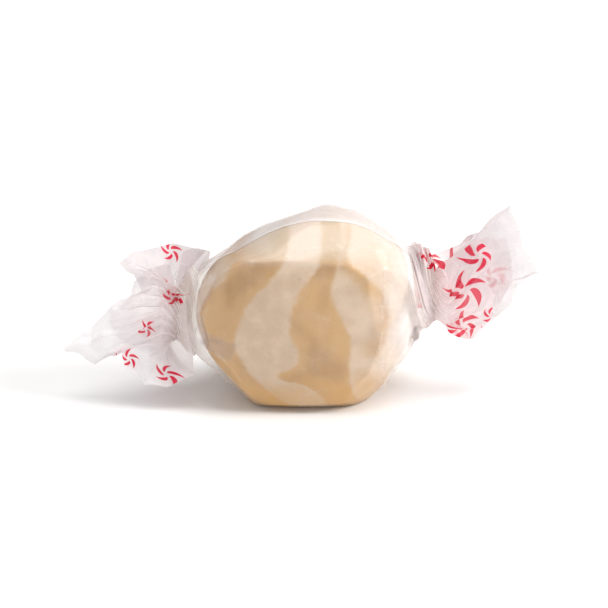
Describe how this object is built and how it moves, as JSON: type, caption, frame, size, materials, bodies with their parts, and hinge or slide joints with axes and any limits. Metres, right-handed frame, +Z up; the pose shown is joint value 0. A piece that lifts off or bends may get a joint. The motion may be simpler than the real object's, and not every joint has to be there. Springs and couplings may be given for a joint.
{
  "type": "salt water taffy",
  "caption": "Piece of marbled salt water taffy rolled in wax paper, with the paper twisted and fanned out at both ends.",
  "frame": {"origin": "middle of the small flat spot under the taffy, on which the piece rests", "axes": "+X runs along the twist axis towards the right twist as seen from the front cut, -Y looks out of the front cut face, +Z is up"},
  "size_m": [0.057, 0.0182, 0.0229],
  "materials": {
    "taffy": "soft marbled tan and cream taffy under a clinging sheet of clear wax paper",
    "wax_paper": "thin white waxed paper, half see-through, with a small red print"
  },
  "bodies": {
    "root": {"taffy": "taffy", "twist_left": "wax_paper", "twist_right": "wax_paper"}
  },
  "joints": []
}
